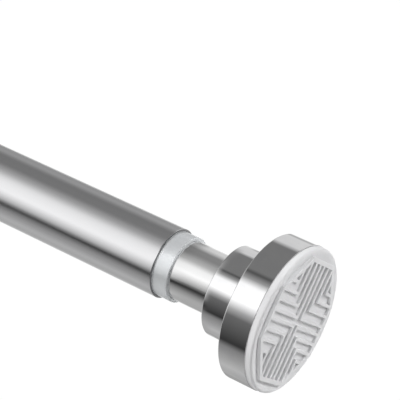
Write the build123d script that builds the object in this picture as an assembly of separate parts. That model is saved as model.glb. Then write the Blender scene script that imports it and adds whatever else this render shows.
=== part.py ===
"""Spring tension rod with a screw for its length and a spring for its grip.

The rod lies along X. The origin is the centre of the left pad's wall face, the right pad faces +X
and +Z is up. It is drawn closed, at its shortest. All sizes are in millimetres.
"""

import math
import os

from build123d import *

# Whole rod
closed_length = 450.0  # wall face to wall face, screwed fully in
neck_shown = 17.3  # bare neck between hub and collar when closed
spring_travel = 15.0  # how far the sprung end can be pushed in
overlap_kept = 62.4  # inner tube still inside the outer tube when fully screwed out

# Tubes
tube_od = 25.0
tube_wall = 0.8
neck_wall = 0.8
tube_edge = 0.2  # break of the outer tube's cut edges

# Collars, the milky guide bushes in the tube's mouths
collar_shown = 6.0
collar_edge = 0.2  # break of its outer end's edge
sleeve_wall = 1.0  # between tube and neck
sleeve_length = 25.0  # hidden part, inside the tube
neck_gap = 0.1  # running clearance of the neck in its collar

# Cap shells, stepped metal covers
flange_od = 51.0
flange_depth = 10.2
hub_od = 32.1
hub_depth = 13.3
shell_wall = 0.9
shell_edge = 0.4  # break of the flange's and the hub's back edges
shell_front_edge = 0.2
neck_hole_gap = 0.15  # clearance round the neck where it enters the hub

# Cap cores, moulded inserts behind the pads
core_gap = 0.1  # clearance inside the shell
socket_gap = 0.1  # clearance round the neck tube
core_web = 5.5  # thickness of the web that the screw pulls on
socket_wall = 2.3
recess_wall = 2.1  # rim of the core round the pad's recess
recess_ledge = 1.9  # seat of the pad round the rib pockets
pocket_floor = 2.0
rib_count = 8
rib_thickness = 1.6

# Pads
pad_inset = 0.25  # how far the pad stands back from the flange's outside
pad_rim = 2.5  # thickness of the rim that shows
pad_edge = 0.7  # break of the rim's edge
rim_crown = 1.5  # flat part of the rim's face
rim_dish = 0.5  # how deep the face then falls towards the octagon
boss_depth = 2.0  # back of the pad, which sits in the core's recess
boss_gap = 0.1

# Tread
land_height = 0.8  # raised octagon above the rim
land_inset = 3.85  # from the pad's outside to the octagon's flats
tread_border = 1.5  # plain border between the octagon's flats and the channels
channel_depth = 0.9
bar_width = 1.1  # bars left standing between the channels
bar_pitch = 3.55
first_bar = 1.5  # from a quarter's diagonal to the middle of its nearest bar

# Cap screws and washers
screw_length = 16.0
screw_diameter = 4.0
screw_hole_diameter = 5.2
head_diameter = 9.0
head_height = 2.4
head_edge = 0.7
recess_width = 1.2  # cross recess in the head
recess_across = 5.0
recess_depth = 1.4
washer_od = 10.0
washer_thickness = 0.8
counterbore_gap = 0.3
head_sunk = 0.2  # head below the floor of the pad's recess

# Tube plugs
plug_head = 1.5
plug_length = 20.5
pilot_depth = 15.5
spring_boss_length = 4.0
spring_boss_gap = 0.2

# Spring
wire_diameter = 1.8
wire_sides = 8
spring_play = 1.3  # clearance of the coil in the plunger tube
spring_turns = 8
spring_gap = 1.0  # play between plunger foot and spring seat at full push

# Spring seat
seat_thickness = 1.5
seat_gap = 0.4  # clearance in the outer tube
thrust_gap = 0.1  # between seat and anchor plug

# Plunger foot
foot_length = 12.0
foot_lip = 1.5
foot_lip_gap = 0.5  # between its lip and the spring
foot_gap = 0.15  # clearance in the outer tube
stop_gap = 0.3  # between foot and collar when closed

# Anchor plug and its pin
anchor_length = 26.0
anchor_band = 6.0  # length of the full-size band at each end
anchor_relief = 0.6
anchor_hold = 20.0  # depth to which it holds the screw
anchor_pin_diameter = 3.0

# Lead screw and its end stop
lead_screw_diameter = 8.0
stop_length = 8.0
stop_gap_round = 0.8  # clearance of the stop in the inner tube
stop_play = 0.3  # between nut and stop when fully out
stop_pin_diameter = 2.5
stop_pin_sunk = 0.5

# Drive nut and guide ring
nut_gap = 1.0  # between anchor plug and nut when closed
nut_head = 14.0
nut_head_gap = 0.2  # clearance in the outer tube
nut_spigot = 18.0
nut_running_gap = 0.05
ring_width = 5.0
ring_thickness = 1.5
ring_gap = 0.2  # clearance in the nut's groove
ring_running_gap = 0.08
ring_split = 1.6

# Radii that several pieces share
tube_r = tube_od / 2
bore_r = tube_r - tube_wall
neck_r = bore_r - sleeve_wall - neck_gap
neck_bore_r = neck_r - neck_wall
hub_r = hub_od / 2
flange_r = flange_od / 2
socket_r = neck_r + socket_gap
core_r = flange_r - shell_wall - core_gap
recess_r = core_r - recess_wall
pocket_r = recess_r - recess_ledge
boss_r = recess_r - boss_gap
pad_r = flange_r - pad_inset
land_half = pad_r - land_inset
tread_half = land_half - tread_border
spring_r = neck_bore_r - spring_play
spring_boss_r = spring_r - wire_diameter - spring_boss_gap
screw_r = lead_screw_diameter / 2

# Places along an end, counted inward from its wall face
at_rim = land_height
at_flange = at_rim + pad_rim
at_step = at_flange + flange_depth
at_hub_back = at_step + hub_depth
at_collar = at_hub_back + neck_shown
at_mouth = at_collar + collar_shown
at_recess_floor = at_flange + boss_depth
at_socket_floor = at_recess_floor + core_web
at_neck_tube = at_socket_floor + plug_head
at_screw_seat = at_recess_floor + head_sunk + head_height + washer_thickness
at_plug_end = at_neck_tube + plug_length

# Places along the sprung side, counted from the left wall face
at_foot = at_mouth + sleeve_length + stop_gap
at_plunger_end = at_foot + foot_length
at_foot_end = at_plunger_end + foot_lip
at_seat = at_foot_end + spring_travel + spring_gap
at_anchor = at_seat + seat_thickness + thrust_gap

# Places along the screw side, counted from the left wall face
at_anchor_end = at_anchor + anchor_length
at_screw_root = at_anchor_end - anchor_hold
at_nut = at_anchor_end + nut_gap
at_inner_tube = at_nut + nut_head
at_nut_end = at_inner_tube + nut_spigot
stroke = closed_length - at_mouth - overlap_kept - at_inner_tube
at_stop = at_nut_end + stroke + stop_play
at_stop_end = at_stop + stop_length


def turned(points, breaks=()):
    """Body turned about the rod's axis from (place, radius) points.

    breaks pairs a sharp corner of the outline with the size of the bevel that breaks it.
    """
    outline = make_face(Polyline(*points, close=True))
    for corner, size in breaks:
        outline = chamfer(outline.vertices().sort_by_distance(corner)[0], size)
    return revolve(outline, Axis.X)


def sleeve(start, end, outer, inner, edge=0.0):
    """Plain tube from start to end, with its outer edges broken if edge is given."""
    points = [(start, inner), (end, inner), (end, outer), (start, outer)]
    breaks = [(points[2], edge), (points[3], edge)] if edge else []
    return turned(points, breaks)


def rod(start, end, radius):
    """Plain solid rod from start to end."""
    return turned([(start, 0), (end, 0), (end, radius), (start, radius)])


def cross_pin(place, radius, length):
    """Pin that lies along Z and crosses the rod's axis."""
    return Pos(place, 0, 0) * Cylinder(radius, length)


def at_right_end(piece):
    """The same piece at the other end of the closed rod."""
    return mirror(piece, Plane.YZ.offset(closed_length / 2))


# Tubes and collars


def outer_tube():
    return sleeve(at_mouth, closed_length - at_mouth, tube_r, bore_r, tube_edge)


def plunger_tube():
    return sleeve(at_neck_tube, at_plunger_end, neck_r, neck_bore_r)


def inner_tube():
    return sleeve(at_inner_tube, closed_length - at_neck_tube, neck_r, neck_bore_r)


def collar():
    start = at_collar
    end = at_mouth + sleeve_length
    hole_r = neck_r + neck_gap
    outer_corner = (start, bore_r)
    points = [(start, hole_r), outer_corner, (end, bore_r), (end, hole_r)]
    return turned(points, [(outer_corner, collar_edge)])


# Pads with their tread


def octagon(half):
    """Regular octagon with flats square to Y and Z, at half from the centre."""
    return Rot(0, 0, 22.5) * RegularPolygon(half / math.cos(math.pi / 8), 8)


def tread_channels():
    """Channels between nested V-shaped bars, which point at the centre from four sides.

    In each quarter the bars lie parallel to its diagonal, and they meet the next quarter's.
    """
    quarter = Pos(tread_half / 2, tread_half / 2) * Rectangle(tread_half, tread_half)
    steps = int((tread_half / math.sqrt(2) - first_bar) / bar_pitch) + 1
    bars = Sketch()
    for step in range(steps):
        for side in (-1, 1):
            offset = side * (first_bar + step * bar_pitch)
            bars += Rot(0, 0, 45) * Pos(0, offset) * Rectangle(4 * tread_half, bar_width)
    bars &= quarter
    return octagon(tread_half) - [Rot(0, 0, 90 * turn) * bars for turn in range(4)]


def pad():
    dish = at_rim + rim_dish
    disc = turned(
        [
            (dish, 0),
            (at_recess_floor, 0),
            (at_recess_floor, boss_r),
            (at_flange, boss_r),
            (at_flange, pad_r),
            (at_rim, pad_r),
            (at_rim, pad_r - rim_crown),
            (dish, land_half),
        ],
        [((at_rim, pad_r), pad_edge)],
    )
    wall_face = Plane(origin=(0, 0, 0), x_dir=(0, -1, 0), z_dir=(1, 0, 0))
    land = extrude(wall_face * octagon(land_half), dish)
    channels = extrude(wall_face * tread_channels(), channel_depth)
    return disc + land - channels


# End caps


def cap_shell():
    hole_r = neck_r + neck_hole_gap
    step_back = (at_step, flange_r)
    hub_back = (at_hub_back, hub_r)
    front = (at_flange, flange_r)
    return turned(
        [
            front,
            step_back,
            (at_step, hub_r),
            hub_back,
            (at_hub_back, hole_r),
            (at_hub_back - shell_wall, hole_r),
            (at_hub_back - shell_wall, hub_r - shell_wall),
            (at_step - shell_wall, hub_r - shell_wall),
            (at_step - shell_wall, flange_r - shell_wall),
            (at_flange, flange_r - shell_wall),
        ],
        [(step_back, shell_edge), (hub_back, shell_edge), (front, shell_front_edge)],
    )


def cap_core():
    inside_wall = shell_wall + core_gap
    body = turned(
        [
            (at_recess_floor, 0),
            (at_recess_floor, recess_r),
            (at_flange, recess_r),
            (at_flange, core_r),
            (at_step - inside_wall, core_r),
            (at_step - inside_wall, hub_r - inside_wall),
            (at_hub_back - shell_wall, hub_r - inside_wall),
            (at_hub_back - shell_wall, socket_r),
            (at_socket_floor, socket_r),
            (at_socket_floor, 0),
        ]
    )
    body -= rod(at_recess_floor, at_screw_seat, washer_od / 2 + counterbore_gap)
    body -= rod(at_screw_seat, at_socket_floor, screw_hole_diameter / 2)
    return body - rib_pockets()


def rib_pockets():
    """Ring-shaped hollow round the socket, left open between the ribs."""
    floor = at_step - shell_wall - core_gap - pocket_floor
    ring = sleeve(at_recess_floor, floor, pocket_r, socket_r + socket_wall)
    middle = (at_recess_floor + floor) / 2
    rib = Pos(middle, 0, pocket_r / 2) * Box(floor - at_recess_floor, rib_thickness, pocket_r)
    for number in range(rib_count):
        ring -= Rot(360 / rib_count * number, 0, 0) * rib
    return ring


def cap_screw():
    head_r = head_diameter / 2
    top = at_screw_seat - washer_thickness - head_height
    seat = at_screw_seat - washer_thickness
    shank_r = screw_diameter / 2
    screw = turned(
        [
            (top, 0),
            (top, head_r),
            (seat, head_r),
            (seat, shank_r),
            (seat + screw_length, shank_r),
            (seat + screw_length, 0),
        ],
        [((top, head_r), head_edge)],
    )
    middle = top + recess_depth / 2
    for turn in (0, 90):
        slot = Box(recess_depth, recess_across, recess_width)
        screw -= Rot(turn, 0, 0) * Pos(middle, 0, 0) * slot
    return screw


def cap_washer():
    return sleeve(at_screw_seat - washer_thickness, at_screw_seat, washer_od / 2, screw_hole_diameter / 2)


def tube_plug():
    """Plug pressed into a neck tube, with the pilot hole of its cap screw."""
    plug = turned(
        [
            (at_socket_floor, 0),
            (at_socket_floor, neck_r),
            (at_neck_tube, neck_r),
            (at_neck_tube, neck_bore_r),
            (at_plug_end, neck_bore_r),
            (at_plug_end, 0),
        ]
    )
    return plug - rod(at_socket_floor, at_socket_floor + pilot_depth, screw_diameter / 2)


# Sprung end


def left_tube_plug():
    boss = rod(at_plug_end, at_plug_end + spring_boss_length, spring_boss_r)
    return tube_plug() + boss


def spring():
    """Coil between the tube plug and the spring seat, with both ends ground flat."""
    length = at_seat - at_plug_end
    coil_r = spring_r - wire_diameter / 2
    pitch = length / spring_turns
    path = Helix(pitch, length, coil_r, center=(at_plug_end, 0, 0), direction=(1, 0, 0))
    wire = RegularPolygon(wire_diameter / 2, wire_sides)
    section = Plane(origin=path @ 0, z_dir=path % 0) * wire
    coil = sweep(section, path=path, is_frenet=True)
    return coil & rod(at_plug_end, at_seat, spring_r + wire_diameter)


def spring_seat():
    """Loose washer that carries the spring and turns against the anchor plug."""
    seat = rod(at_seat, at_seat + seat_thickness, bore_r - seat_gap)
    boss = rod(at_seat - spring_boss_length, at_seat, spring_boss_r)
    return seat + boss


def plunger_foot():
    """Guide on the plunger's inner end, which stops against the collar."""
    foot_r = bore_r - foot_gap
    lip_r = spring_r + foot_lip_gap
    return turned(
        [
            (at_foot, neck_r),
            (at_foot, foot_r),
            (at_foot_end, foot_r),
            (at_foot_end, lip_r),
            (at_plunger_end, lip_r),
            (at_plunger_end, neck_r),
        ]
    )


# Screw that sets the length


def anchor_plug():
    waist_r = bore_r - anchor_relief
    band_start = at_anchor + anchor_band
    band_end = at_anchor_end - anchor_band
    plug = turned(
        [
            (at_anchor, 0),
            (at_anchor, bore_r),
            (band_start, bore_r),
            (band_start, waist_r),
            (band_end, waist_r),
            (band_end, bore_r),
            (at_anchor_end, bore_r),
            (at_anchor_end, screw_r),
            (at_screw_root, screw_r),
            (at_screw_root, 0),
        ]
    )
    return plug - anchor_pin()


def anchor_pin():
    """Cross pin in the anchor plug's waist."""
    middle = (at_anchor + at_anchor_end) / 2
    return cross_pin(middle, anchor_pin_diameter / 2, 2 * (bore_r - anchor_relief))


def stop_pin():
    """Cross pin through the end stop."""
    middle = (at_stop + at_stop_end) / 2
    length = 2 * (neck_bore_r - stop_gap_round - stop_pin_sunk)
    return cross_pin(middle, stop_pin_diameter / 2, length)


def lead_screw():
    return rod(at_screw_root, at_stop_end, screw_r) - anchor_pin() - stop_pin()


def end_stop():
    stop_r = neck_bore_r - stop_gap_round
    middle = (at_stop + at_stop_end) / 2
    hole = cross_pin(middle, stop_pin_diameter / 2, 2 * stop_r + 2)
    return sleeve(at_stop, at_stop_end, stop_r, screw_r) - hole


def ring_groove():
    """Start, end and floor radius of the guide ring's groove in the nut."""
    middle = at_nut + nut_head / 2
    half = ring_width / 2 + ring_gap
    floor_r = bore_r - ring_running_gap - ring_thickness - ring_gap
    return middle - half, middle + half, floor_r


def drive_nut():
    """Nut in the inner tube's end, whose head slides in the outer tube."""
    head_r = bore_r - nut_head_gap
    thread_r = screw_r + nut_running_gap
    groove_start, groove_end, floor_r = ring_groove()
    return turned(
        [
            (at_nut, thread_r),
            (at_nut, head_r),
            (groove_start, head_r),
            (groove_start, floor_r),
            (groove_end, floor_r),
            (groove_end, head_r),
            (at_inner_tube, head_r),
            (at_inner_tube, neck_bore_r),
            (at_nut_end, neck_bore_r),
            (at_nut_end, thread_r),
        ]
    )


def guide_ring():
    """Split ring in the nut's groove, which slides in the tube and does not turn."""
    groove_start, groove_end, floor_r = ring_groove()
    start = groove_start + ring_gap
    end = groove_end - ring_gap
    ring_r = bore_r - ring_running_gap
    ring = sleeve(start, end, ring_r, ring_r - ring_thickness)
    split = Pos((start + end) / 2, 0, ring_r) * Box(2 * ring_width, ring_split, 4 * ring_thickness)
    return ring - split


pieces = {
    "outer_tube": outer_tube(),
    "left_collar": collar(),
    "right_collar": at_right_end(collar()),
    "anchor_plug": anchor_plug(),
    "anchor_pin": anchor_pin(),
    "lead_screw": lead_screw(),
    "end_stop": end_stop(),
    "stop_pin": stop_pin(),
    "spring_seat": spring_seat(),
    "spring": spring(),
    "plunger_tube": plunger_tube(),
    "plunger_foot": plunger_foot(),
    "left_tube_plug": left_tube_plug(),
    "inner_tube": inner_tube(),
    "drive_nut": drive_nut(),
    "guide_ring": guide_ring(),
    "right_tube_plug": at_right_end(tube_plug()),
}

end_pieces = {
    "cap_shell": cap_shell(),
    "cap_core": cap_core(),
    "cap_screw": cap_screw(),
    "cap_washer": cap_washer(),
    "pad": pad(),
}
for name, piece in end_pieces.items():
    pieces["left_" + name] = piece
    pieces["right_" + name] = at_right_end(piece)

os.makedirs("parts", exist_ok=True)
for name, piece in pieces.items():
    export_step(piece, f"parts/{name}.step")
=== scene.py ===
"""Looks of the spring tension rod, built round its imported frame. All sizes are in metres."""

import math

import bmesh
import bpy
from mathutils import Matrix, Vector

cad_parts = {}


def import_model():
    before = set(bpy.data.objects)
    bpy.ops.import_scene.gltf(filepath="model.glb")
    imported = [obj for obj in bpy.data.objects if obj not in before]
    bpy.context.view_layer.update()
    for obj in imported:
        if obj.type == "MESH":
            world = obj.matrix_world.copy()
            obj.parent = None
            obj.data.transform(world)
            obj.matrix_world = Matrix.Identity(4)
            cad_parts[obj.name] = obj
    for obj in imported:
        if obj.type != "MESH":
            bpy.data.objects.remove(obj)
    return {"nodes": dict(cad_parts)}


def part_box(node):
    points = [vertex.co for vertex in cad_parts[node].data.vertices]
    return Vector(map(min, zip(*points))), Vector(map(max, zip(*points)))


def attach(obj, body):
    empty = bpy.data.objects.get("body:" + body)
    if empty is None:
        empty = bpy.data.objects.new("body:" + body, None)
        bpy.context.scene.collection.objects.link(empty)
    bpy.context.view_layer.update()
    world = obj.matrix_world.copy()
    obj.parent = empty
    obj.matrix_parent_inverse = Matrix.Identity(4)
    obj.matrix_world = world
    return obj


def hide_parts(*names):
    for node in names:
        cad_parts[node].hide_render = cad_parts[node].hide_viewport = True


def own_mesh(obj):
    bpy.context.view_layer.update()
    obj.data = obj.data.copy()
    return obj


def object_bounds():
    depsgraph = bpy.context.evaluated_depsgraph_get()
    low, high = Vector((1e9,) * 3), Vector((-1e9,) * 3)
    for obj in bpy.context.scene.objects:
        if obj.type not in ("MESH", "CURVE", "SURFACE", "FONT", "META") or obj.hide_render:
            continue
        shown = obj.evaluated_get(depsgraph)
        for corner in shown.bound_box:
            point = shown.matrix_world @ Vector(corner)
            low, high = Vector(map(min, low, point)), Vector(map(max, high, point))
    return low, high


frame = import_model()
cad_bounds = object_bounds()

MM = 0.001

# Sizes read from the frame, counted along X from the left wall face
closed_length = cad_bounds[1].x
_, pad_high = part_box("left_pad")
shell_low, shell_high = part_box("left_cap_shell")
tube_low, tube_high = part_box("outer_tube")
collar_low, collar_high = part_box("left_collar")
plunger_low, plunger_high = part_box("plunger_tube")
inner_low, inner_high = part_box("inner_tube")
screw_low, screw_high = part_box("lead_screw")
spring_low, spring_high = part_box("spring")

flange_r = shell_high.z
pad_r = pad_high.z
tube_r = tube_high.z
neck_r = plunger_high.z
at_flange = shell_low.x
at_pad_back = pad_high.x
at_hub_back = shell_high.x
at_collar = collar_low.x
at_collar_end = collar_high.x
at_mouth = tube_low.x

# Tubes
tube_wall = 0.8 * MM
tube_edge = 0.22 * MM
neck_wall = 0.8 * MM

# Collars
neck_gap = 0.03 * MM
collar_edge = 0.2 * MM

# Cap shells
hub_r = 16.05 * MM
flange_depth = 10.2 * MM
shell_wall = 0.9 * MM
shell_edge = 0.45 * MM
neck_hole_gap = 0.15 * MM

# Pads
boss_r = 22.3 * MM
rim_edge = 0.8 * MM
rim_crown = 1.5 * MM  # flat part of the rim's face
rim_dish = 0.5 * MM  # how deep the face then falls towards the octagon
crown_round = 5.0 * MM  # round between that flat and the fall

# Tread
land_height = 0.8 * MM  # raised octagon above the rim
land_half = 21.4 * MM
tread_half = 19.9 * MM
tread_edge = 0.1 * MM
channel_depth = 0.9 * MM
bar_width = 1.1 * MM
bar_pitch = 3.55 * MM
first_bar = 1.5 * MM  # from a quarter's diagonal to the middle of its nearest bar

# Spring
wire_diameter = 1.8 * MM
spring_turns = 8

# Lead screw's thread, with the crest and the flank as shares of the lead
thread_lead = 5.0 * MM
thread_depth = 0.6 * MM
half_crest = 0.15
flank = 1 / 6

# Fineness of the meshes
AROUND = 256  # steps round a turned piece
ARC_STEPS = 5  # steps in a rounded corner
BEVEL_STEPS = 3  # steps in a softened edge
SHARP_ANGLE = 35  # degrees from which an edge shows as an edge
SUPPORT = 0.02 * MM  # loop beside a rounded corner, which keeps the faces next to it flat
SAME_PLACE = SUPPORT / 10  # how near a point has to be to a plane to lie in it
WELD = 0.001 * MM  # points closer than this become one


# Mesh helpers


def add_object(name, data):
    """New object in the scene."""
    piece = bpy.data.objects.new(name, data)
    bpy.context.scene.collection.objects.link(piece)
    return piece


def smooth(piece):
    """Shows the mesh smooth but for its sharp edges."""
    piece.data.polygons.foreach_set("use_smooth", [True] * len(piece.data.polygons))
    piece.data.set_sharp_from_angle(angle=math.radians(SHARP_ANGLE))


def mesh_object(name, vertices, faces):
    """Smooth object with outward normals."""
    mesh = bpy.data.meshes.new(name)
    mesh.from_pydata(vertices, [], faces)
    shape = bmesh.new()
    shape.from_mesh(mesh)
    bmesh.ops.recalc_face_normals(shape, faces=shape.faces)
    shape.to_mesh(mesh)
    shape.free()
    piece = add_object(name, mesh)
    smooth(piece)
    return piece


def at_end(side, place):
    """Place along X of a distance inward from one end's wall face."""
    return place if side == "left" else closed_length - place


def on_ring(x, radius, step, count):
    """One of the count points of a ring round the rod's axis."""
    angle = 2 * math.pi * step / count
    return (x, radius * math.cos(angle), radius * math.sin(angle))


def between_rings(here, there):
    """Faces between two rings of point numbers. A ring of one repeated number is a point."""
    faces = []
    for step in range(len(here)):
        following = (step + 1) % len(here)
        corners = [here[step], here[following], there[following], there[step]]
        corners = list(dict.fromkeys(corners))
        if len(corners) > 2:
            faces.append(corners)
    return faces


def rounded(points, rounds):
    """Outline with the numbered corners rounded, and a loop beside each arc."""
    made = []
    count = len(points)
    for number, corner in enumerate(points):
        if number not in rounds:
            made.append(corner)
            continue
        corner = Vector(corner)
        before = (Vector(points[number - 1]) - corner).normalized()
        after = (Vector(points[(number + 1) % count]) - corner).normalized()
        half_angle = before.angle(after) / 2
        reach = rounds[number] / math.tan(half_angle)
        centre = corner + (before + after).normalized() * rounds[number] / math.sin(half_angle)
        start = corner + before * reach - centre
        end = corner + after * reach - centre
        made.append(tuple(corner + before * (reach + SUPPORT)))
        turn = start.angle(end)
        for step in range(ARC_STEPS + 1):
            share = step / ARC_STEPS
            from_start = start * math.sin((1 - share) * turn)
            from_end = end * math.sin(share * turn)
            made.append(tuple(centre + (from_start + from_end) / math.sin(turn)))
        made.append(tuple(corner + after * (reach + SUPPORT)))
    return made


def turned(name, points, side="left"):
    """Closed piece turned about the rod's axis from (place, radius) points."""
    vertices = []
    rings = []
    for place, radius in points:
        x = at_end(side, place)
        start = len(vertices)
        if radius == 0:
            vertices.append((x, 0, 0))
            rings.append([start] * AROUND)
        else:
            vertices.extend(on_ring(x, radius, step, AROUND) for step in range(AROUND))
            rings.append(list(range(start, start + AROUND)))
    faces = []
    for number, ring in enumerate(rings):
        faces.extend(between_rings(ring, rings[(number + 1) % len(rings)]))
    return mesh_object(name, vertices, faces)


def lofted(name, rows):
    """Solid through rows of points, each a closed ring, with a flat face at both ends."""
    around = len(rows[0])
    rings = [list(range(row * around, (row + 1) * around)) for row in range(len(rows))]
    faces = []
    for here, there in zip(rings, rings[1:]):
        faces.extend(between_rings(here, there))
    faces.extend((rings[0], rings[-1]))
    return mesh_object(name, [point for row in rows for point in row], faces)


def prism(outline, start, end, vertices, faces):
    """Adds a prism of (y, z) points from start to end along X to the lists."""
    first = len(vertices)
    count = len(outline)
    for x in (start, end):
        vertices.extend((x, y, z) for y, z in outline)
    faces.append([first + number for number in range(count)])
    faces.append([first + count + number for number in range(count)][::-1])
    for number in range(count):
        following = (number + 1) % count
        near = [first + following, first + number]
        faces.append(near + [first + count + number, first + count + following])


def clipped(outline, edges):
    """Part of a convex outline on the inner side of each (normal, offset) edge."""
    for normal, offset in edges:
        kept = []
        for number, point in enumerate(outline):
            before = outline[number - 1]
            here = point.dot(normal) - offset
            there = before.dot(normal) - offset
            if here * there < 0:
                kept.append(before.lerp(point, there / (there - here)))
            if here <= 0:
                kept.append(point)
        outline = kept
        if len(outline) < 3:
            return []
    return outline


def apply_modifiers(piece):
    """Applies them, merges the points that then lie on each other and drops faces with no area."""
    graph = bpy.context.evaluated_depsgraph_get()
    made = bpy.data.meshes.new_from_object(piece.evaluated_get(graph))
    piece.modifiers.clear()
    shape = bmesh.new()
    shape.from_mesh(made)
    bmesh.ops.remove_doubles(shape, verts=shape.verts, dist=WELD)
    bmesh.ops.dissolve_degenerate(shape, edges=shape.edges, dist=WELD)
    shape.to_mesh(made)
    shape.free()
    piece.data = made


def with_boolean(piece, other, operation):
    """Applies a boolean of the other object, which is then removed."""
    cut = piece.modifiers.new("cut", "BOOLEAN")
    cut.operation = operation
    cut.solver = "EXACT"
    cut.object = other
    apply_modifiers(piece)
    bpy.data.objects.remove(other)


def soften_face(piece, x, width):
    """Rounds the sharp edges that lie in the plane at x."""
    mesh = piece.data
    weights = mesh.attributes.new("bevel_weight_edge", "FLOAT", "EDGE")
    for edge in mesh.edges:
        on_plane = all(abs(mesh.vertices[end].co.x - x) < SAME_PLACE for end in edge.vertices)
        weights.data[edge.index].value = 1.0 if on_plane and edge.use_edge_sharp else 0.0
    bevel = piece.modifiers.new("edges", "BEVEL")
    bevel.width = width
    bevel.segments = BEVEL_STEPS
    bevel.limit_method = "WEIGHT"
    bevel.harden_normals = True
    apply_modifiers(piece)


# Node helpers


def grey(level):
    """Scene value of a grey that shows at this level, from 0 to 1, by the sRGB curve."""
    return level / 12.92 if level <= 0.04045 else ((level + 0.055) / 1.055) ** 2.4


def tint(red, green, blue):
    """Scene colour that shows with these levels."""
    return (grey(red), grey(green), grey(blue), 1.0)


class Network:
    """Node tree of a material or a world, with short helpers for its nodes."""

    def __init__(self, owner):
        owner.use_nodes = True
        self.nodes = owner.node_tree.nodes
        self.links = owner.node_tree.links

    def feed(self, socket, value):
        """Sets a socket to the value, or links it if that is another node's output."""
        if isinstance(value, bpy.types.NodeSocket):
            self.links.new(value, socket)
        else:
            socket.default_value = value

    def node(self, kind, settings=(), **inputs):
        """New node with its settings, and its inputs fed by name."""
        made = self.nodes.new("ShaderNode" + kind)
        for name, value in dict(settings).items():
            setattr(made, name, value)
        for name, value in inputs.items():
            self.feed(made.inputs[name.replace("_", " ")], value)
        return made

    def calculate(self, operation, *values):
        """Result of a Math node."""
        made = self.node("Math", {"operation": operation})
        for socket, value in zip(made.inputs, values):
            self.feed(socket, value)
        return made.outputs["Value"]

    def between(self, value, low, high, source=(0, 1)):
        """Value carried from its source range to low and high."""
        source_low, source_high = source
        made = self.node(
            "MapRange",
            Value=value,
            From_Min=source_low,
            From_Max=source_high,
            To_Min=low,
            To_Max=high,
        )
        return made.outputs["Result"]

    def show(self, output):
        """Makes the output the surface of a material whose nodes were cleared."""
        self.node("OutputMaterial", Surface=output)


def bare_material(name):
    """Material with no nodes yet, and its network."""
    material = bpy.data.materials.new(name)
    tree = Network(material)
    tree.nodes.clear()
    return material, tree


# Materials

NOISE_RANGE = (0.3, 0.7)  # most of a noise lies between these
END_RANGE = (0.6, 0.9)  # a normal's share along X, where a face starts and is wholly an end
CUT_END_PAINTED_SHADE = 0.35  # share of the colour that is left on a tube's cut ends, a painted shade for how dark they show
CUT_ROUGHNESS = 0.45
END_SHINE = 0.05  # metallic share of the milky plastic on its ends
SIDE_SHINE = 0.45  # the same round its sides


class Finish(Network):
    """Principled material, whose patterns lie in the rod's own frame."""

    def __init__(self, name):
        self.material = bpy.data.materials.new(name)
        super().__init__(self.material)
        self.shader = self.nodes["Principled BSDF"]
        self.coordinates = self.node("TexCoord")

    def set(self, **inputs):
        """Feeds inputs of the shader by name."""
        for name, value in inputs.items():
            self.feed(self.shader.inputs[name.replace("_", " ")], value)

    def noise(self, scale, detail=3.0, roughness=0.5):
        """Noise with one scale for each axis."""
        place = self.node("Mapping", Vector=self.coordinates.outputs["Object"], Scale=scale)
        made = self.node(
            "TexNoise",
            Vector=place.outputs["Vector"],
            Scale=1.0,
            Detail=detail,
            Roughness=roughness,
        )
        return made.outputs["Fac"]

    def facing_ends(self):
        """1 on faces square to the rod's axis, and 0 on those along it."""
        normal = self.node("SeparateXYZ", Vector=self.coordinates.outputs["Normal"])
        along = self.calculate("ABSOLUTE", normal.outputs["X"])
        return self.between(along, 0, 1, END_RANGE)

    def colours(self, noise, low, high):
        """Colour between two, by the noise."""
        ramp = self.node("ValToRGB", Fac=noise)
        for stop, place, colour in zip(ramp.color_ramp.elements, NOISE_RANGE, (low, high)):
            stop.position = place
            stop.color = colour
        self.set(Base_Color=ramp.outputs["Color"])

    def darken(self, value, share):
        """Multiplies the colour by the share where the value is 1."""
        colour = self.shader.inputs["Base Color"].links[0].from_socket
        left = self.between(value, 1, share)
        made = self.node("VectorMath", {"operation": "SCALE"}, Vector=colour, Scale=left)
        self.set(Base_Color=made.outputs["Vector"])

    def bump(self, value, height):
        """Relief of the value, with its height in metres."""
        made = self.node("Bump", Strength=1.0, Distance=height, Height=value)
        self.set(Normal=made.outputs["Normal"])


def drawn_steel(name, light, dark, rough_low, rough_high):
    """Stainless tube with fine streaks along its length, and cut ends that are rougher and whose
    colour carries a painted shade.
    """
    finish = Finish(name)
    streaks = finish.noise((9, 1700, 1700), detail=4.0, roughness=0.6)
    bands = finish.noise((1.5, 240, 240), detail=2.0)
    cut = finish.facing_ends()
    finish.colours(bands, dark, light)
    # painted shade: the colour of the cut ends is darkened, while their rougher finish below is
    # the cut's own
    finish.darken(cut, CUT_END_PAINTED_SHADE)
    skin = finish.between(streaks, rough_low, rough_high, NOISE_RANGE)
    dull = finish.between(cut, 0, CUT_ROUGHNESS)
    finish.set(Metallic=1.0, Roughness=finish.calculate("MAXIMUM", skin, dull))
    finish.bump(streaks, 0.004 * MM)
    return finish.material


def polished_metal(name):
    """Plated cap, with the faint cloudiness of a buffed surface."""
    finish = Finish(name)
    clouds = finish.noise((160, 160, 160))
    finish.colours(clouds, tint(0.90, 0.90, 0.905), tint(0.93, 0.93, 0.93))
    finish.set(Metallic=1.0, Roughness=finish.between(clouds, 0.035, 0.05, NOISE_RANGE))
    return finish.material


def milky_plastic(name):
    """Milky moulding with flow marks, whose sides shine more than its ends."""
    finish = Finish(name)
    flow = finish.noise((220, 70, 70), detail=2.0)
    finish.colours(flow, tint(0.85, 0.86, 0.87), tint(0.875, 0.885, 0.89))
    finish.set(
        IOR=1.46,
        Metallic=finish.between(finish.facing_ends(), SIDE_SHINE, END_SHINE),
        Roughness=finish.between(flow, 0.20, 0.27, NOISE_RANGE),
    )
    return finish.material


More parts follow.
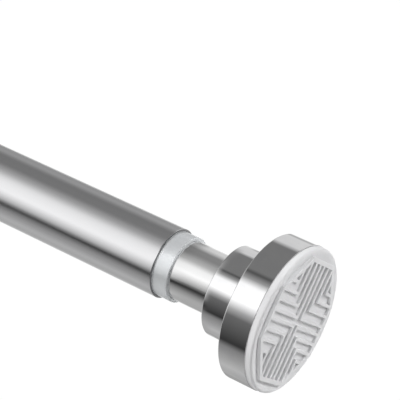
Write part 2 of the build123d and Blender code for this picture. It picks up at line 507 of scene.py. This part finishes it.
def white_rubber(name):
    """Soft rubber with the fine grain of its mould."""
    finish = Finish(name)
    grain = finish.noise((5200, 5200, 5200), detail=2.0)
    clouds = finish.noise((110, 110, 110))
    finish.colours(clouds, tint(0.86, 0.86, 0.865), tint(0.885, 0.885, 0.89))
    finish.set(IOR=1.5, Roughness=finish.between(grain, 0.55, 0.7, NOISE_RANGE))
    finish.bump(grain, 0.006 * MM)
    return finish.material


def moulded_plastic(name, dark, light):
    """Plain inner moulding with a dull, slightly uneven skin."""
    finish = Finish(name)
    skin = finish.noise((900, 900, 900))
    finish.colours(skin, dark, light)
    finish.set(Roughness=finish.between(skin, 0.45, 0.6, NOISE_RANGE))
    finish.bump(skin, 0.01 * MM)
    return finish.material


def plain_steel(name, dark, light):
    """Plated or oiled steel of the inner parts, with fine scratches."""
    finish = Finish(name)
    scratches = finish.noise((600, 2500, 2500))
    finish.colours(scratches, dark, light)
    finish.set(Metallic=1.0, Roughness=finish.between(scratches, 0.25, 0.4, NOISE_RANGE))
    return finish.material


tube_steel = drawn_steel(
    "tube_steel", tint(0.92, 0.92, 0.925), tint(0.88, 0.88, 0.885), rough_low=0.17, rough_high=0.25
)
neck_steel = drawn_steel(
    "neck_steel", tint(0.94, 0.94, 0.94), tint(0.91, 0.91, 0.91), rough_low=0.10, rough_high=0.15
)
cap_metal = polished_metal("cap_metal")
collar_plastic = milky_plastic("collar_plastic")
pad_rubber = white_rubber("pad_rubber")
core_plastic = moulded_plastic("core_plastic", tint(0.13, 0.13, 0.14), tint(0.17, 0.17, 0.18))
guide_plastic = moulded_plastic("guide_plastic", tint(0.88, 0.87, 0.83), tint(0.92, 0.91, 0.88))
zinc_steel = plain_steel("zinc_steel", tint(0.72, 0.73, 0.74), tint(0.80, 0.81, 0.82))
spring_steel = plain_steel("spring_steel", tint(0.40, 0.40, 0.41), tint(0.50, 0.50, 0.50))


def dress(piece, material, body, node):
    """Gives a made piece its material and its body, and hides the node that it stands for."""
    piece.data.materials.clear()
    piece.data.materials.append(material)
    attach(piece, body)
    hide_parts(node)


# Pieces that show

END_BODY = {"left": "left_end", "right": "right_end"}


def tube_outline(low, high, bore_r, outer_r):
    return [(low, bore_r), (high, bore_r), (high, outer_r), (low, outer_r)]


def outer_tube():
    outline = tube_outline(at_mouth, closed_length - at_mouth, tube_r - tube_wall, tube_r)
    rounds = {corner: tube_edge for corner in range(4)}
    piece = turned("tube_body", rounded(outline, rounds))
    dress(piece, tube_steel, "outer", "outer_tube")


def neck(name, node, body, low, high):
    piece = turned(name, tube_outline(low, high, neck_r - neck_wall, neck_r))
    dress(piece, neck_steel, body, node)


def collar(side):
    """Guide bush, drawn round from its inner edge at the end that shows."""
    bore_r = tube_r - tube_wall
    outline = [
        (at_collar, neck_r + neck_gap),
        (at_collar, bore_r),
        (at_collar_end, bore_r),
        (at_collar_end, neck_r + neck_gap),
    ]
    rounds = {0: collar_edge / 8, 1: collar_edge}
    piece = turned(side + "_collar_bush", rounded(outline, rounds), side)
    dress(piece, collar_plastic, "outer", side + "_collar")


def cap(side):
    """Stepped cover, drawn from the flange's front over the outside and back inside."""
    step = at_flange + flange_depth
    hole_r = neck_r + neck_hole_gap
    outline = [
        (at_flange, flange_r),
        (step, flange_r),
        (step, hub_r),
        (at_hub_back, hub_r),
        (at_hub_back, hole_r),
        (at_hub_back - shell_wall, hole_r),
        (at_hub_back - shell_wall, hub_r - shell_wall),
        (step - shell_wall, hub_r - shell_wall),
        (step - shell_wall, flange_r - shell_wall),
        (at_flange, flange_r - shell_wall),
    ]
    rounds = {0: shell_edge / 2, 1: shell_edge, 3: shell_edge, 4: shell_edge / 3}
    piece = turned(side + "_cap", rounded(outline, rounds), side)
    dress(piece, cap_metal, END_BODY[side], side + "_cap_shell")


def octagon_edges(half):
    """Edges of an octagon with flats square to Y and Z, as (normal, offset)."""
    angles = [math.radians(45 * number) for number in range(8)]
    return [(Vector((math.cos(angle), math.sin(angle))), half) for angle in angles]


def square(half):
    corners = ((-half, -half), (half, -half), (half, half), (-half, half))
    return [Vector(corner) for corner in corners]


def quarter_turns():
    """The four turns that carry the first quarter of the tread to each quarter."""
    return [Matrix.Rotation(math.pi / 2 * quarter, 2) for quarter in range(4)]


def band(low, high, side_walls):
    """Strip of the first quarter parallel to its diagonal, from low to high of its Z side."""
    across = Vector((-1, 1)).normalized()
    edges = octagon_edges(tread_half) + side_walls + [(across, high), (-across, -low)]
    return clipped(square(tread_half), edges)


def from_corner(outline, start):
    """The same outline, with the point nearest to start first."""
    first = min(range(len(outline)), key=lambda number: (outline[number] - start).length)
    return outline[first:] + outline[:first]


def channel_outlines():
    """Outlines of the crossed channels and of the V-shaped ones, from the centre out."""
    right_of_z = (Vector((-1, 0)), 0)
    above_y = (Vector((0, -1)), 0)
    half_cross = first_bar - bar_width / 2
    corner = half_cross * math.sqrt(2)
    arm = from_corner(band(-half_cross, half_cross, [right_of_z, above_y]), Vector((corner, 0)))
    arm = [point for point in arm if point.length > corner / 2]
    cross = []
    for turn in quarter_turns():
        cross.extend(turn @ point for point in arm[:-1])
    outlines = [cross]

    low = first_bar + bar_width / 2
    reach = tread_half / math.sqrt(2)
    while low < reach:
        high = low + bar_pitch - bar_width
        arm = from_corner(band(low, high, [right_of_z]), Vector((0, low * math.sqrt(2))))
        mirrored = [Vector((-point.x, point.y)) for point in arm if point.x > SAME_PLACE]
        outline = arm + mirrored[::-1]
        outlines.extend([turn @ point for point in outline] for turn in quarter_turns())
        low += bar_pitch
    return outlines


def pad(side):
    """Tread pad with a dished rim, a raised octagon and its channels."""
    at_rim = land_height
    dish = at_rim + rim_dish
    outline = [
        (dish, 0),
        (at_pad_back, 0),
        (at_pad_back, boss_r),
        (at_flange, boss_r),
        (at_flange, pad_r),
        (at_rim, pad_r),
        (at_rim, pad_r - rim_crown),
        (dish, land_half - SUPPORT),
    ]
    rounds = {4: rim_edge / 4, 5: rim_edge, 6: crown_round}
    piece = turned(side + "_tread_pad", rounded(outline, rounds), side)

    vertices = []
    faces = []
    land = clipped(square(land_half), octagon_edges(land_half))
    prism(land, at_end(side, 0), at_end(side, (dish + at_flange) / 2), vertices, faces)
    with_boolean(piece, mesh_object("land", vertices, faces), "UNION")

    vertices = []
    faces = []
    for channel in channel_outlines():
        prism(channel, at_end(side, -channel_depth), at_end(side, channel_depth), vertices, faces)
    with_boolean(piece, mesh_object("channels", vertices, faces), "DIFFERENCE")

    smooth(piece)
    soften_face(piece, at_end(side, 0), tread_edge)
    dress(piece, pad_rubber, END_BODY[side], side + "_pad")


outer_tube()
neck("left_neck", "plunger_tube", "left_end", plunger_low.x, plunger_high.x)
neck("right_neck", "inner_tube", "right_end", inner_low.x, inner_high.x)
for end_side in ("left", "right"):
    collar(end_side)
    cap(end_side)
    pad(end_side)


# Pieces inside the tubes


def lead_screw():
    """Screw with its thread as a helical ridge."""
    around = 36
    per_turn = 12
    length = screw_high.x - screw_low.x
    count = round(length / thread_lead * per_turn)
    rows = []
    for row in range(count + 1):
        x = screw_low.x + length * row / count
        ring = []
        for step in range(around):
            phase = (x / thread_lead - step / around) % 1
            sunk = min(max((abs(phase - 0.5) - half_crest) / flank, 0), 1)
            ring.append(on_ring(x, screw_high.z - thread_depth * sunk, step, around))
        rows.append(ring)
    piece = lofted("screw_thread", rows)
    dress(piece, zinc_steel, "outer", "lead_screw")


def spring():
    """Coil of round wire, which in the real rod shortens as the rod is pushed in; this mesh keeps
    its length.
    """
    per_turn = 48
    around = 14
    wire_r = wire_diameter / 2
    coil_r = spring_high.z - wire_r
    start = spring_low.x + wire_r
    length = spring_high.x - spring_low.x - wire_diameter
    rise = length / spring_turns / (2 * math.pi * coil_r)
    count = spring_turns * per_turn
    rows = []
    for row in range(count + 1):
        angle = 2 * math.pi * row / per_turn
        outward = Vector((0, math.cos(angle), math.sin(angle)))
        centre = outward * coil_r + Vector((start + length * row / count, 0, 0))
        along = Vector((rise, -outward.z, outward.y)).normalized()
        side = along.cross(outward)
        ring = []
        for step in range(around):
            turn = 2 * math.pi * step / around
            off_centre = outward * wire_r * math.cos(turn) + side * wire_r * math.sin(turn)
            ring.append(centre + off_centre)
        rows.append(ring)
    piece = lofted("spring_coil", rows)
    dress(piece, spring_steel, "left_end", "spring")
    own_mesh(piece)


INNER_FINISH = {
    core_plastic: [
        "anchor_plug",
        "left_tube_plug",
        "right_tube_plug",
        "left_cap_core",
        "right_cap_core",
    ],
    guide_plastic: ["end_stop", "plunger_foot", "drive_nut", "guide_ring"],
    zinc_steel: [
        "anchor_pin",
        "stop_pin",
        "spring_seat",
        "left_cap_screw",
        "right_cap_screw",
        "left_cap_washer",
        "right_cap_washer",
    ],
}

lead_screw()
spring()
for inner_material, nodes in INNER_FINISH.items():
    for node_name in nodes:
        for slot in frame["nodes"][node_name].material_slots:
            slot.material = inner_material


# Light tent, an open tube round the rod that only reflections see

TENT_R = 0.12
TENT_REACH = 0.8  # past each end of the rod
TENT_STEPS = 96
TENT_STRENGTH = 1.2
VIEW_TURN = 136  # degrees round the rod, from +Y, at which the camera looks at it
FIRST_TURN = 0.25  # share of a turn that carries the start of the strips from +Y to straight down

# From the rod's middle to where the tent changes from tube to neck and from neck to cap strips
NECK_ZONE = 0.1275
CAP_ZONE = 0.148
ZONE_WIDTH = 0.002  # half of the stretch in which it changes

# Strips of the tent, as (degrees, level): where a strip shows round the rod, from straight down
# through the far side, the top and the near side, and how light it shows there
CAP_BANDS = [
    (-90, 0.60),
    (-75, 0.60),
    (-65, 0.85),
    (-40, 0.95),
    (-30, 0.95),
    (-20, 0.60),
    (-10, 0.80),
    (20, 0.80),
    (30, 0.45),
    (90, 0.45),
    (95, 0.30),
    (105, 0.60),
    (115, 1.00),
    (140, 1.05),
    (155, 0.65),
    (165, 0.40),
    (205, 0.20),
    (215, 0.50),
    (255, 0.70),
    (270, 0.65),
]
NECK_BANDS = [
    (-90, 0.60),
    (-65, 0.85),
    (-40, 1.00),
    (-25, 0.95),
    (-10, 0.80),
    (15, 0.80),
    (40, 0.50),
    (65, 0.50),
    (95, 0.70),
    (115, 0.95),
    (140, 1.00),
    (165, 0.75),
    (175, 0.60),
    (180, 0.40),
    (190, 0.15),
    (200, 0.35),
    (215, 0.55),
    (235, 0.65),
    (260, 0.65),
]
TUBE_BANDS = [
    (-90, 0.65),
    (-65, 0.90),
    (-30, 0.90),
    (-15, 0.55),
    (15, 0.60),
    (35, 0.45),
    (70, 0.45),
    (95, 0.65),
    (115, 0.90),
    (135, 0.95),
    (155, 0.95),
    (175, 0.75),
    (180, 0.65),
    (190, 0.20),
    (195, 0.10),
    (205, 0.45),
    (215, 0.55),
    (245, 0.70),
    (260, 0.65),
]


def band_ramp(tree, turn, bands, radius):
    """Colour ramp of the levels that a part of this radius shows, on the tent's own angle."""
    ramp = tree.node("ValToRGB", Fac=turn)
    stops = ramp.color_ramp.elements
    while len(stops) < len(bands):
        stops.new(0.5)
    for stop, (degrees, level) in zip(stops, bands):
        aside = radius / TENT_R * math.sin(math.radians(VIEW_TURN - degrees) / 2)
        on_tent = degrees + math.degrees(math.asin(aside))
        stop.position = on_tent / 360 + FIRST_TURN
        stop.color = tint(level, level, level)
    return ramp.outputs["Color"]


def tent_material():
    """Light of long strips, brighter and darker round the rod."""
    material, tree = bare_material("tent_strips")
    place = tree.node("TexCoord").outputs["Object"]
    split = tree.node("SeparateXYZ", Vector=place).outputs
    angle = tree.calculate("ARCTAN2", split["Z"], split["Y"])
    turn = tree.calculate("DIVIDE", angle, 2 * math.pi)
    turn = tree.calculate("ADD", turn, 1 + FIRST_TURN)
    turn = tree.calculate("FRACT", turn)
    off_middle = tree.calculate("SUBTRACT", split["X"], closed_length / 2)
    off_middle = tree.calculate("ABSOLUTE", off_middle)
    shown = band_ramp(tree, turn, TUBE_BANDS, tube_r)
    for bands, radius, start in (
        (NECK_BANDS, neck_r, NECK_ZONE),
        (CAP_BANDS, flange_r, CAP_ZONE),
    ):
        zone = tree.node(
            "MapRange",
            {"interpolation_type": "SMOOTHSTEP"},
            Value=off_middle,
            From_Min=start - ZONE_WIDTH,
            From_Max=start + ZONE_WIDTH,
        )
        mix = tree.node(
            "Mix",
            {"data_type": "RGBA"},
            Factor=zone.outputs["Result"],
            A=shown,
            B=band_ramp(tree, turn, bands, radius),
        )
        shown = mix.outputs["Result"]
    light = tree.node("Emission", Color=shown, Strength=TENT_STRENGTH)
    tree.show(light.outputs["Emission"])
    return material


def tent():
    ends = (-TENT_REACH, closed_length + TENT_REACH)
    vertices = [on_ring(x, TENT_R, step, TENT_STEPS) for x in ends for step in range(TENT_STEPS)]
    faces = between_rings(range(TENT_STEPS), range(TENT_STEPS, 2 * TENT_STEPS))
    mesh = bpy.data.meshes.new("tent")
    mesh.from_pydata(vertices, [], faces)
    mesh.materials.append(tent_material())
    piece = add_object("tent", mesh)
    piece.visible_camera = False
    piece.visible_diffuse = False
    piece.visible_transmission = False
    piece.visible_volume_scatter = False
    piece.visible_shadow = False


# Floor and world

FLOOR_Z = -0.32
FLOOR_HALF = 8.0
FLOOR_PAPER = 0.9  # share of light that the floor throws back
FLOOR_GLOW = 1.02  # how bright it is where it only shows as white
FLOOR_GLOW_SHARE = 0.96  # the rest keeps a soft shadow
WORLD_LIGHT = 0.08  # for what neither the camera nor a ray through a see-through piece sees


def floor_material():
    """White floor that keeps a soft shadow under the rod."""
    material, tree = bare_material("floor_paper")
    paper = tree.node("BsdfDiffuse", Color=(FLOOR_PAPER, FLOOR_PAPER, FLOOR_PAPER, 1.0))
    white = tree.node("Emission", Strength=FLOOR_GLOW)
    rays = tree.node("LightPath").outputs
    seen = tree.calculate("MAXIMUM", rays["Is Camera Ray"], rays["Is Glossy Ray"])
    seen = tree.calculate("MAXIMUM", seen, rays["Is Transmission Ray"])
    mix = tree.node("MixShader", Fac=tree.calculate("MULTIPLY", seen, FLOOR_GLOW_SHARE))
    tree.feed(mix.inputs[1], paper.outputs["BSDF"])
    tree.feed(mix.inputs[2], white.outputs["Emission"])
    tree.show(mix.outputs["Shader"])
    return material


def floor():
    vertices = [(corner.x, corner.y, FLOOR_Z) for corner in square(FLOOR_HALF)]
    mesh = bpy.data.meshes.new("floor")
    mesh.from_pydata(vertices, [], [[0, 1, 2, 3]])
    mesh.materials.append(floor_material())
    add_object("floor", mesh)


def world():
    """White to the camera, nearly dark to everything else."""
    made = bpy.data.worlds.new("studio")
    bpy.context.scene.world = made
    tree = Network(made)
    rays = tree.node("LightPath").outputs
    seen = tree.calculate("MAXIMUM", rays["Is Camera Ray"], rays["Is Transmission Ray"])
    background = tree.nodes["Background"]
    tree.feed(background.inputs["Color"], (1.0, 1.0, 1.0, 1.0))
    tree.feed(background.inputs["Strength"], tree.between(seen, WORLD_LIGHT, 1))


# Square lamps aimed at the right pad and hidden from reflections, as (name, place, width, watts)
LAMPS = [
    ("key_light", (1.14, 0.76, 0.39), 0.40, 9.0),
    ("front_light", (0.64, -0.77, 0.77), 0.50, 4.3),
    ("top_light", (0.48, 0.0, 1.10), 0.60, 1.3),
    ("left_light", (-0.45, -0.55, 0.95), 0.60, 14.0),
    ("back_light", (-0.75, 0.35, 0.5), 0.50, 2.6),
]


def area_lamp(name, place, width, power):
    lamp = bpy.data.lights.new(name, "AREA")
    lamp.size = width
    lamp.energy = power
    piece = add_object(name, lamp)
    aim = Vector((closed_length, 0, 0)) - Vector(place)
    piece.location = place
    piece.rotation_mode = "QUATERNION"
    piece.rotation_quaternion = aim.to_track_quat("-Z", "Y")
    piece.visible_glossy = False


# Camera, set from the photo's perspective: the right pad's rim centre in the camera's own frame
AZIMUTH = math.radians(35.81)
ELEVATION = math.radians(38.10)
FOCAL_MM = 154.9
SENSOR_MM = 36.0
PAD_RIGHT = 30.74 * MM
PAD_DOWN = 39.09 * MM
PAD_AHEAD = 552.7 * MM
CLIP_NEAR = 0.01
CLIP_FAR = 100.0


def camera():
    level = math.cos(ELEVATION)
    right = Vector((math.cos(AZIMUTH), math.sin(AZIMUTH), 0))
    back = Vector((math.sin(AZIMUTH) * level, -math.cos(AZIMUTH) * level, math.sin(ELEVATION)))
    up = back.cross(right)
    rim_centre = Vector((closed_length - land_height, 0, 0))
    place = rim_centre - right * PAD_RIGHT + up * PAD_DOWN + back * PAD_AHEAD
    data = bpy.data.cameras.new("camera")
    data.lens = FOCAL_MM
    data.sensor_width = SENSOR_MM
    data.clip_start = CLIP_NEAR
    data.clip_end = CLIP_FAR
    piece = add_object("camera", data)
    turn = Matrix((right, up, back)).transposed().to_4x4()
    piece.matrix_world = Matrix.Translation(place) @ turn
    bpy.context.scene.camera = piece


tent()
floor()
world()
for lamp_settings in LAMPS:
    area_lamp(*lamp_settings)
camera()
bpy.context.scene.view_settings.view_transform = "Standard"
